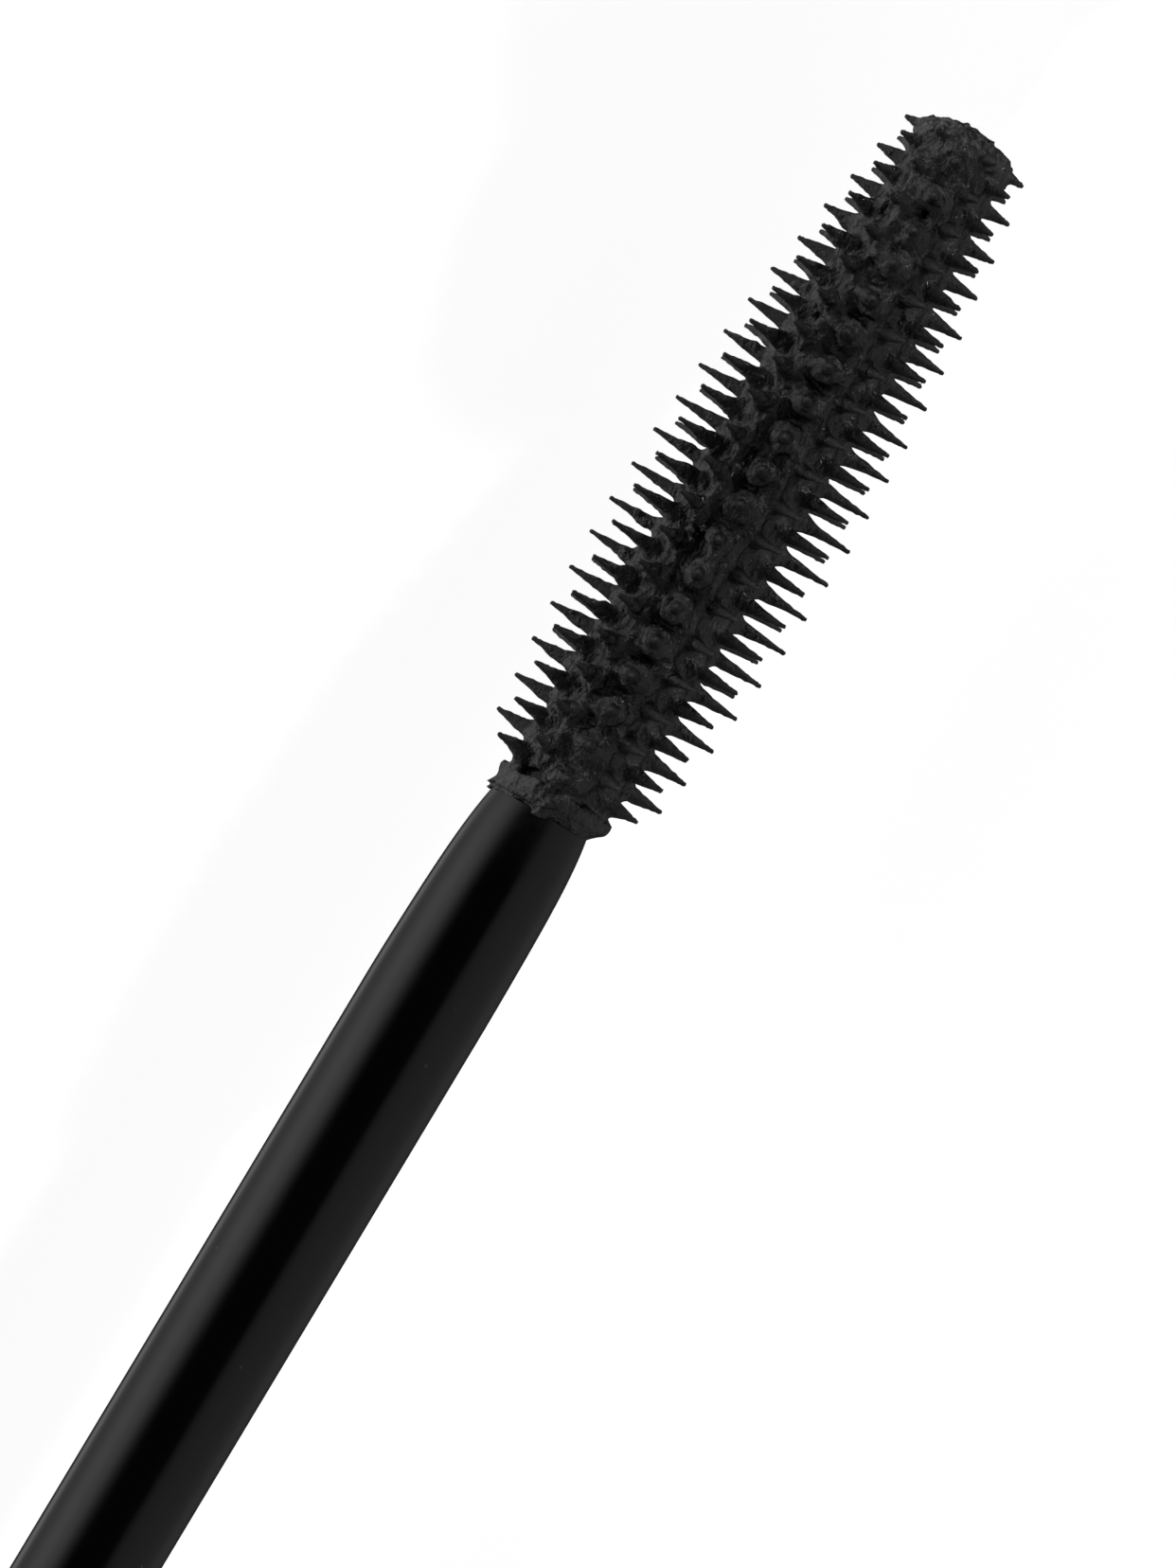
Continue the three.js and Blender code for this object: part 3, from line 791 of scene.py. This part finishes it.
REACH = 1.25  # how far round a bristle its paste is worked out
WEB = 0.3  # how widely the paste fills the corner where a bristle meets the core


def lattice_noise(points, scale, seed):
    """Smooth noise in -1..1 at an array of points, with one lattice cell per scale."""
    where = points / scale
    cell = np.floor(where).astype(np.int64)
    part = where - cell
    part = part * part * (3 - 2 * part)
    table = np.random.default_rng(seed).uniform(-1, 1, 4096)
    total = np.zeros(points.shape[:-1])
    for dx in (0, 1):
        for dy in (0, 1):
            for dz in (0, 1):
                key = (cell[..., 0] + dx) * 73856093
                key = key ^ ((cell[..., 1] + dy) * 19349663)
                key = key ^ ((cell[..., 2] + dz) * 83492791)
                weight = np.abs(1 - dx - part[..., 0])
                weight = weight * np.abs(1 - dy - part[..., 1])
                weight = weight * np.abs(1 - dz - part[..., 2])
                total += weight * table[key % 4096]
    return total


def joined(a, b, width):
    """The union of two distance fields, with a fillet of about that width."""
    share = np.clip(width - np.abs(a - b), 0, None) / width
    return np.minimum(a, b) - share**2 * width / 4


class Field:
    """A distance field on a grid of points round the brush."""

    def __init__(self):
        self.counts = np.ceil((FIELD_HIGH - FIELD_LOW) / VOXEL).astype(int) + 1
        self.axes = [FIELD_LOW[i] + VOXEL * np.arange(self.counts[i]) for i in range(3)]

    def window(self, low, high):
        """Slices of the grid that cover a box."""
        first = np.clip(np.floor((low - FIELD_LOW) / VOXEL).astype(int), 0, self.counts)
        last = np.clip(np.ceil((high - FIELD_LOW) / VOXEL).astype(int) + 1, 0, self.counts)
        return tuple(slice(a, b) for a, b in zip(first, last))

    def points(self, window):
        along = np.meshgrid(*[axis[part] for axis, part in zip(self.axes, window)], indexing="ij")
        return np.stack(along, -1)


def coated_shaft(along, y, z, wet):
    """The coated core: thinnest on top, pinched in beside the collar and blunt at its end."""
    r = np.hypot(y, z)
    on_top = smoothstep(0.4, 0.9, z / np.maximum(r, 0.1))
    pinch = CREVICE_DEPTH + CREVICE_DRY * (1 - wet)
    crevice = pinch * np.exp(-(((along - CREVICE_AT) / CREVICE_WIDTH) ** 2))
    body = r - coated_core(along) + TOP_THINNING * on_top + crevice
    end = along - (BRUSH_LENGTH - END_INSET) - END_SLANT * y
    corner = np.hypot(np.maximum(body + END_ROUNDING, 0), np.maximum(end + END_ROUNDING, 0)) - END_ROUNDING
    body = np.where((body > -END_ROUNDING) & (end > -END_ROUNDING), corner, np.maximum(body, end))
    # the last bristles are webbed together nearly to their tips
    beside = np.maximum(np.abs(end + END_WEB_AT) - END_WEB_FLAT, 0)
    web = np.hypot(beside, np.maximum(r - END_WEB_RADIUS, 0)) - END_WEB_ROUNDING
    return np.maximum(joined(body, web, 2 * END_WEB_ROUNDING), SHAFT_START - along)


def collar_of_paste(points, wet):
    """The ledge scraped up at the stem's end, chamfered where it is wet, and its thin skirt over the stem."""
    along = points[..., 0]
    r = np.hypot(points[..., 1], points[..., 2])
    ragged = lattice_noise(points, RAGGED_SCALE, 11)
    chamfer = LEDGE_CHAMFER * wet * np.maximum(SKIRT_END - along, 0)
    ledge = np.abs(along - LEDGE_AT + 0.05 * ragged) - LEDGE_HALF_LENGTH
    ledge = np.maximum(ledge, r - LEDGE_RADIUS - 0.04 * ragged + chamfer)
    skirt = np.maximum(SKIRT_START - 0.14 * ragged - along, along - SKIRT_END)
    skirt = np.maximum(skirt, r - SKIRT_RADIUS + SKIRT_SLOPE * (along + 1))
    return joined(ledge, skirt, 0.08)


def coat_core(points):
    """The coated core with the collar of mascara at the stem's end."""
    along, y, z = points[..., 0], points[..., 1], points[..., 2]
    wet = smoothstep(0.9, -1.1, y - 0.25 * z)  # the side where the paste has run smooth
    return joined(coated_shaft(along, y, z, wet), collar_of_paste(points, wet), 0.1 + 0.9 * wet)


def coat_bristle(points, bristle):
    """Distance to the paste on one bristle, thick at the core and gone close to the tip."""
    base = points - bristle.centre(0.0)
    height = base @ bristle.up
    share = np.clip((height - BOW_START) / (bristle.tip - BOW_START), 0, 1) ** 2
    side = base @ bristle.side - share * bristle.bow[0]
    front = base @ bristle.front - share * bristle.bow[1]
    across = np.hypot(side, front)
    below = bristle.tip - height
    radius = FILM_RADIUS + bristle.film[0] * below + bristle.film[1] * below**2
    cone = np.maximum(across - radius, height - bristle.tip + BARE_TIP * bristle.room)
    width, length, rise, shift = bristle.mound
    beside = (side - shift) / width
    mound = np.sqrt(beside**2 + (front / length) ** 2 + ((height - bristle.floor) / rise) ** 2)
    paste = joined(cone, (mound - 1) * min(width, rise), 0.14)
    if not bristle.ring:
        return paste
    ring = np.hypot(across - RING_RADIUS, height - bristle.floor - bristle.ring) - RING_THICKNESS
    return joined(paste, ring, 0.15)


def coat_field():
    field = Field()
    everywhere = tuple(slice(0, n) for n in field.counts)
    points = field.points(everywhere)
    values = coat_core(points)
    for bristle in BRISTLES:
        ends = np.array([bristle.centre(1.2), bristle.centre(bristle.tip)])
        window = field.window(ends.min(0) - REACH, ends.max(0) + REACH)
        here = points[window]
        values[window] = joined(values[window], coat_bristle(here, bristle), WEB)
    # nothing stands out past the blunt end
    to_end = BRUSH_LENGTH - points[..., 0]
    values = -joined(-values, to_end, 0.3)
    # one side is smooth and wet, and the other and the tip are lumpy and dry
    smooth = smoothstep(0.6, -1.6, points[..., 1]) * smoothstep(1.5, 3, to_end)
    # the thin outer parts of the bristles stay straight
    straight = 1 - 0.7 * smoothstep(2.3, 3.1, np.hypot(points[..., 1], points[..., 2]))
    crumbly = 1 + 1.5 * smoothstep(2.2, 0.4, to_end)
    for seed, height, scale, smoothed, where in (
        (1, 0.07, 0.75, 0.3, straight),
        (2, 0.085, 0.36, 0.7, straight),
        (3, 0.03, 0.17, 0.7, crumbly),
    ):
        values += height * where * (1 - smoothed * smooth) * lattice_noise(points, scale, seed)
    return field, values


def surface(field, values):
    """The zero surface of a field as quads, one vertex in each cell that it crosses."""
    inside = values < 0
    shape = np.array(values.shape) - 1
    total = np.zeros((*shape, 3), np.float32)
    count = np.zeros(shape, np.float32)
    corners = [(i, j, k) for i in (0, 1) for j in (0, 1) for k in (0, 1)]
    for a in corners:
        for axis in range(3):
            if a[axis]:
                continue
            b = tuple(1 if n == axis else a[n] for n in range(3))
            cut = [tuple(slice(c, c + s) for c, s in zip(corner, shape)) for corner in (a, b)]
            va, vb = values[cut[0]], values[cut[1]]
            crossed = inside[cut[0]] != inside[cut[1]]
            share = np.where(crossed, va / np.where(crossed, va - vb, 1), 0)
            for n in range(3):
                total[..., n] += crossed * (a[n] + (share if n == axis else 0))
            count += crossed
    active = count > 0
    number = np.full(shape, -1, np.int64)
    number[active] = np.arange(active.sum())
    cells = np.argwhere(active)
    vertices = FIELD_LOW + VOXEL * (cells + total[active] / count[active][:, None])
    quads = []
    for axis in range(3):
        u, v = (axis + 1) % 3, (axis + 2) % 3
        low = [slice(None)] * 3
        high = [slice(None)] * 3
        low[axis], high[axis] = slice(0, -1), slice(1, None)
        crossed = inside[tuple(low)] != inside[tuple(high)]
        where = np.argwhere(crossed)
        where = where[(where[:, u] > 0) & (where[:, v] > 0)]
        where = where[(where[:, u] < shape[u]) & (where[:, v] < shape[v])]
        outward = inside[tuple(low)][tuple(where.T)]
        ring = []
        for du, dv in ((1, 1), (0, 1), (0, 0), (1, 0)):
            cell = where.copy()
            cell[:, u] -= du
            cell[:, v] -= dv
            ring.append(number[tuple(cell.T)])
        ring = np.stack(ring, 1)
        ring[~outward] = ring[~outward][:, ::-1]
        quads.append(ring)
    return vertices, np.concatenate(quads)


def largest_body(vertices, quads):
    """Leaves out crumbs that the noise has cut loose."""
    parent = np.arange(len(vertices))
    edges = np.concatenate([quads[:, [0, 1]], quads[:, [1, 2]], quads[:, [2, 3]]])
    for _ in range(64):
        low = np.minimum(parent[edges[:, 0]], parent[edges[:, 1]])
        before = parent.copy()
        np.minimum.at(parent, edges[:, 0], low)
        np.minimum.at(parent, edges[:, 1], low)
        parent = parent[parent]
        if np.array_equal(parent, before):
            break
    names, sizes = np.unique(parent, return_counts=True)
    kept = parent == names[sizes.argmax()]
    number = np.cumsum(kept) - 1
    return vertices[kept], number[quads[kept[quads].all(1)]]


def mascara_coat():
    vertices, quads = surface(*coat_field())
    vertices, quads = largest_body(vertices, quads)
    # the brush's end gets pale flecks painted into the paste as highlights
    look = mascara_look("mascara_black_on_brush", painted_glint_end=ROOT + BRUSH_LENGTH * MM)
    piece = make_object("mascara_on_brush", placed(vertices), quads.tolist(), look)
    settle(piece, "wand", "mascara_coat")


# ---- Bottle ----------------------------------------------------------------------------------------

NECK_START = span("inner_vial")[0]
COLLAR_FACE = span("collar_ring")[0]
NECK_RADIUS = 5.9 * MM
NECK_BORE = 4.8 * MM
LAND_RADIUS = 6.6 * MM


def collar_ring():
    start, end = span("collar_ring")
    inside = LAND_RADIUS + FIT
    corners = [
        (start, inside, 0.1 * MM),
        (start, TUBE_RADIUS, 0.3 * MM),
        (end, TUBE_RADIUS, 0.2 * MM),
        (end, inside, 0.1 * MM),
    ]
    piece = turned("collar_ring_trim", corners, True, GUNMETAL, steps=6)
    settle(piece, "bottle", "collar_ring")


def inner_vial():
    end = span("inner_vial")[1]
    outside = radius_of("inner_vial")
    inside = outside - MM
    floor = end - 1.2 * MM
    shoulder = span("outer_sleeve")[0]
    thread = ridges(NECK_START + THREAD_INSET)

    def swell(x, r, angle):
        on_neck = abs(r - NECK_RADIUS) < 0.05 * MM and x < COLLAR_FACE
        return RIDGE_HEIGHT * thread(x, angle) if on_neck else np.zeros_like(angle)

    corners = [
        (floor, 0, 0),
        (floor, inside, 0.8 * MM),
        (COLLAR_FACE + 4.5 * MM, inside, 0.8 * MM),
        (COLLAR_FACE + MM, NECK_BORE, 0.6 * MM),
        (NECK_START, NECK_BORE, 0.15 * MM),
        (NECK_START, NECK_RADIUS, 0.2 * MM),
        *stepped(NECK_START + 0.8 * MM, COLLAR_FACE - 0.8 * MM, NECK_RADIUS, THREAD_STEP),
        (COLLAR_FACE, NECK_RADIUS, 0.3 * MM),
        (COLLAR_FACE, LAND_RADIUS, 0.15 * MM),
        (shoulder, LAND_RADIUS, 0.1 * MM),
        (shoulder, outside, 0.2 * MM),
        (end, outside, 0.7 * MM),
        (end, 0, 0),
    ]
    piece = turned("inner_vial_body", corners, False, vial_look(), swell=swell)
    settle(piece, "bottle", "inner_vial")


def wiper():
    start, end = span("wiper")
    outside = NECK_BORE - FIT
    inside = outside - 0.9 * MM
    flange = radius_of("wiper") * math.cos(math.pi / 24)
    rim = NECK_START - FIT
    tube_end = rim + 8.5 * MM
    lip = tube_end + 4 * MM
    orifice = STEM_RADIUS + 0.08 * MM
    corners = [
        (start, inside, 0.25 * MM),
        (start, flange, 0.25 * MM),
        (rim, flange, 0.12 * MM),
        (rim, outside, 0.1 * MM),
        (tube_end, outside, 0.8 * MM),
        (lip, orifice + 0.3 * MM, 0.5 * MM),
        (end, orifice + 0.3 * MM, 0.12 * MM),
        (end, orifice, 0.1 * MM),
        (lip, orifice, 0.4 * MM),
        (tube_end, inside, 0.8 * MM),
    ]
    piece = turned("wiper_insert", corners, True, LINER, steps=6, sides=96)
    settle(piece, "bottle", "wiper")


def mascara_bulk():
    """The paste in the vial. Its inner face keeps the shape that the brush last left."""
    start, end = span("mascara_bulk")
    outside = radius_of("mascara_bulk") * math.cos(math.pi / 24)
    channel = 4.8 * MM

    def swell(x, r, angle):
        if r > outside - 0.2 * MM:
            return np.zeros_like(angle)
        around = np.stack([np.full_like(angle, x), r * np.cos(angle), r * np.sin(angle)], -1) / MM
        return 0.12 * MM * lattice_noise(around, 1.1, 7) + 0.06 * MM * lattice_noise(around, 0.5, 8)

    corners = [
        (start, channel, 0.3 * MM),
        (start, outside, 0.3 * MM),
        (end, outside, 0.2 * MM),
        (end, channel, 0.2 * MM),
        *reversed(stepped(start + MM, end - MM, channel, 0.35 * MM)),
    ]
    piece = turned("mascara_in_vial", corners, True, PASTE, sides=96, swell=swell)
    settle(piece, "bottle", "mascara_bulk")


def outer_sleeve():
    start, end = span("outer_sleeve")
    inside = TUBE_RADIUS - MM
    corners = [
        (start, inside, 0.1 * MM),
        (start, TUBE_RADIUS, 0.2 * MM),
        (end, TUBE_RADIUS, 0.2 * MM),
        (end, inside, 0.1 * MM),
    ]
    piece = turned("outer_sleeve_shell", corners, True, LACQUER, steps=6)
    settle(piece, "bottle", "outer_sleeve")


def base_plug():
    start, end = span("base_plug")
    flange = span("outer_sleeve")[1] + FIT
    skirt = TUBE_RADIUS - MM - FIT
    wall = 1.15 * MM
    recess = TUBE_RADIUS - 2.35 * MM
    corners = [
        (flange, 0, 0),
        (flange, skirt - wall, 0.3 * MM),
        (start, skirt - wall, 0.15 * MM),
        (start, skirt, 0.3 * MM),
        (flange, skirt, 0.1 * MM),
        (flange, TUBE_RADIUS, 0.2 * MM),
        (end, TUBE_RADIUS, 0.8 * MM),
        (end, recess, 0.12 * MM),
        (end - 0.3 * MM, recess, 0.08 * MM),
        (end - 0.3 * MM, 0, 0),
    ]
    piece = turned("base_plug_cap", corners, False, LACQUER, steps=8)
    settle(piece, "bottle", "base_plug")


def shade_label():
    start, end = span("shade_label")
    radius = radius_of("shade_label")
    corners = [(start, 0, 0), (start, radius, 0.03 * MM), (end, radius, 0.03 * MM), (end, 0, 0)]
    piece = turned("shade_label_disc", corners, False, paper_look())
    settle(piece, "bottle", "shade_label")


# ---- Floor, light and camera -----------------------------------------------------------------------


def floor():
    """A plain white sheet, lit from within a little so that it stays pale right round the object."""
    half = 3.0
    corners = [(-half, -half, 0), (half, -half, 0), (half, half, 0), (-half, half, 0)]
    material = bpy.data.materials.new("floor_white")
    material.use_nodes = True
    shader = material.node_tree.nodes["Principled BSDF"]
    shader.inputs["Base Color"].default_value = (0.9, 0.9, 0.9, 1)
    shader.inputs["Roughness"].default_value = 0.9
    shader.inputs["Emission Color"].default_value = (1, 1, 1, 1)
    shader.inputs["Emission Strength"].default_value = 0.8
    made = make_object("floor", corners, [(0, 1, 2, 3)], material)
    made.visible_glossy = False
    made.visible_diffuse = False


# How bright the studio is, by the angle round the X axis from straight up, towards +Y: a large soft light
# low on that side, a weak fill on the other, and nothing overhead.
STUDIO = (
    (-180, 0.02),
    (-160, 0.03),
    (-140, 0.15),
    (-124, 0.25),
    (-90, 0.29),
    (-64, 0.31),
    (-41, 0.27),
    (-33, 0.2),
    (-25, 0.01),
    (0, 0.0),
    (27, 0.0),
    (34, 0.06),
    (41, 0.24),
    (48, 0.5),
    (56, 0.85),
    (64, 0.98),
    (75, 1.15),
    (85, 1.1),
    (100, 0.7),
    (111, 0.46),
    (124, 0.4),
    (136, 0.7),
    (144, 0.6),
    (154, 0.05),
    (180, 0.02),
)
STUDIO_END = 0.2  # along the X axis itself
STUDIO_MOST = 1.2
BACKDROP = (1, 1, 1, 1)


def sparkle():
    """A small lamp off to the tip's side: only grains and wet spots that tilt towards it catch it."""
    data = bpy.data.lights.new("sparkle", "SUN")
    data.energy = 0.5
    data.angle = math.radians(3)
    made = bpy.data.objects.new("sparkle", data)
    made.rotation_euler = Vector((0.85, -0.3, 0.45)).to_track_quat("Z", "Y").to_euler()
    bpy.context.scene.collection.objects.link(made)


def studio():
    world = bpy.data.worlds.new("studio")
    bpy.context.scene.world = world
    world.use_nodes = True
    nodes, links = world.node_tree.nodes, world.node_tree.links
    nodes.clear()

    def math_node(operation, a, b=0.0):
        node = nodes.new("ShaderNodeMath")
        node.operation = operation
        for socket, value in zip(node.inputs, (a, b)):
            if isinstance(value, float):
                socket.default_value = value
            else:
                links.new(value, socket)
        return node.outputs["Value"]

    direction = nodes.new("ShaderNodeTexCoord").outputs["Generated"]
    parts = nodes.new("ShaderNodeSeparateXYZ")
    links.new(direction, parts.inputs["Vector"])
    angle = math_node("ARCTAN2", parts.outputs["Y"], parts.outputs["Z"])
    share = math_node("ADD", math_node("DIVIDE", angle, 2 * math.pi), 0.5)
    ramp = nodes.new("ShaderNodeValToRGB")
    elements = ramp.color_ramp.elements
    while len(elements) < len(STUDIO):
        elements.new(0.5)
    for element, (degrees, value) in zip(elements, STUDIO):
        element.position = degrees / 360 + 0.5
        element.color = (*[value / STUDIO_MOST] * 3, 1)
    links.new(share, ramp.inputs["Fac"])

    endwise = nodes.new("ShaderNodeMapRange")
    endwise.interpolation_type = "SMOOTHSTEP"
    endwise.inputs["From Min"].default_value = 0.6
    endwise.inputs["From Max"].default_value = 0.97
    links.new(math_node("ABSOLUTE", parts.outputs["X"]), endwise.inputs["Value"])
    blend = nodes.new("ShaderNodeMixRGB")
    blend.inputs["Color2"].default_value = (*[STUDIO_END / STUDIO_MOST] * 3, 1)
    links.new(endwise.outputs["Result"], blend.inputs["Fac"])
    links.new(ramp.outputs["Color"], blend.inputs["Color1"])

    light = nodes.new("ShaderNodeBackground")
    light.inputs["Strength"].default_value = STUDIO_MOST
    links.new(blend.outputs["Color"], light.inputs["Color"])
    backdrop = nodes.new("ShaderNodeBackground")
    backdrop.inputs["Color"].default_value = BACKDROP
    seen = nodes.new("ShaderNodeMixShader")
    links.new(nodes.new("ShaderNodeLightPath").outputs["Is Camera Ray"], seen.inputs["Fac"])
    links.new(light.outputs["Background"], seen.inputs[1])
    links.new(backdrop.outputs["Background"], seen.inputs[2])
    output = nodes.new("ShaderNodeOutputWorld")
    links.new(seen.outputs["Shader"], output.inputs["Surface"])


CAMERA_DISTANCE = 0.29
FRAME_HEIGHT = 53.0 * MM
SENSOR = 36.0
CAMERA_TILT = math.radians(59.04)  # how far the wand leans up from the frame's horizontal
AIM_ALONG = 0.61 * MM  # past the brush's root
AIM_ACROSS = -0.93 * MM


def camera():
    """A long lens straight above the brush's root, turned so that the wand runs up to the right."""
    data = bpy.data.cameras.new("camera")
    data.sensor_width = SENSOR
    data.lens = SENSOR * CAMERA_DISTANCE / FRAME_HEIGHT
    data.clip_start = 0.01
    data.clip_end = 10
    made = bpy.data.objects.new("camera", data)
    right = Vector((math.cos(CAMERA_TILT), -math.sin(CAMERA_TILT), 0))
    up = Vector((math.sin(CAMERA_TILT), math.cos(CAMERA_TILT), 0))
    turn = Matrix((right, up, Vector((0, 0, 1)))).transposed().to_4x4()
    made.matrix_world = Matrix.Translation((ROOT + AIM_ALONG, AIM_ACROSS, AXIS_Z + CAMERA_DISTANCE)) @ turn
    bpy.context.scene.collection.objects.link(made)
    bpy.context.scene.camera = made


floor()
studio()
sparkle()
camera()
outer_cap()
cap_end_disc()
cap_weight()
inner_cap()
cap_gasket()
stem()
brush()
mascara_coat()
collar_ring()
inner_vial()
wiper()
mascara_bulk()
outer_sleeve()
base_plug()
shade_label()

view = bpy.context.scene.view_settings
view.view_transform = "Standard"
view.look = "None"
view.exposure = 0
view.gamma = 1
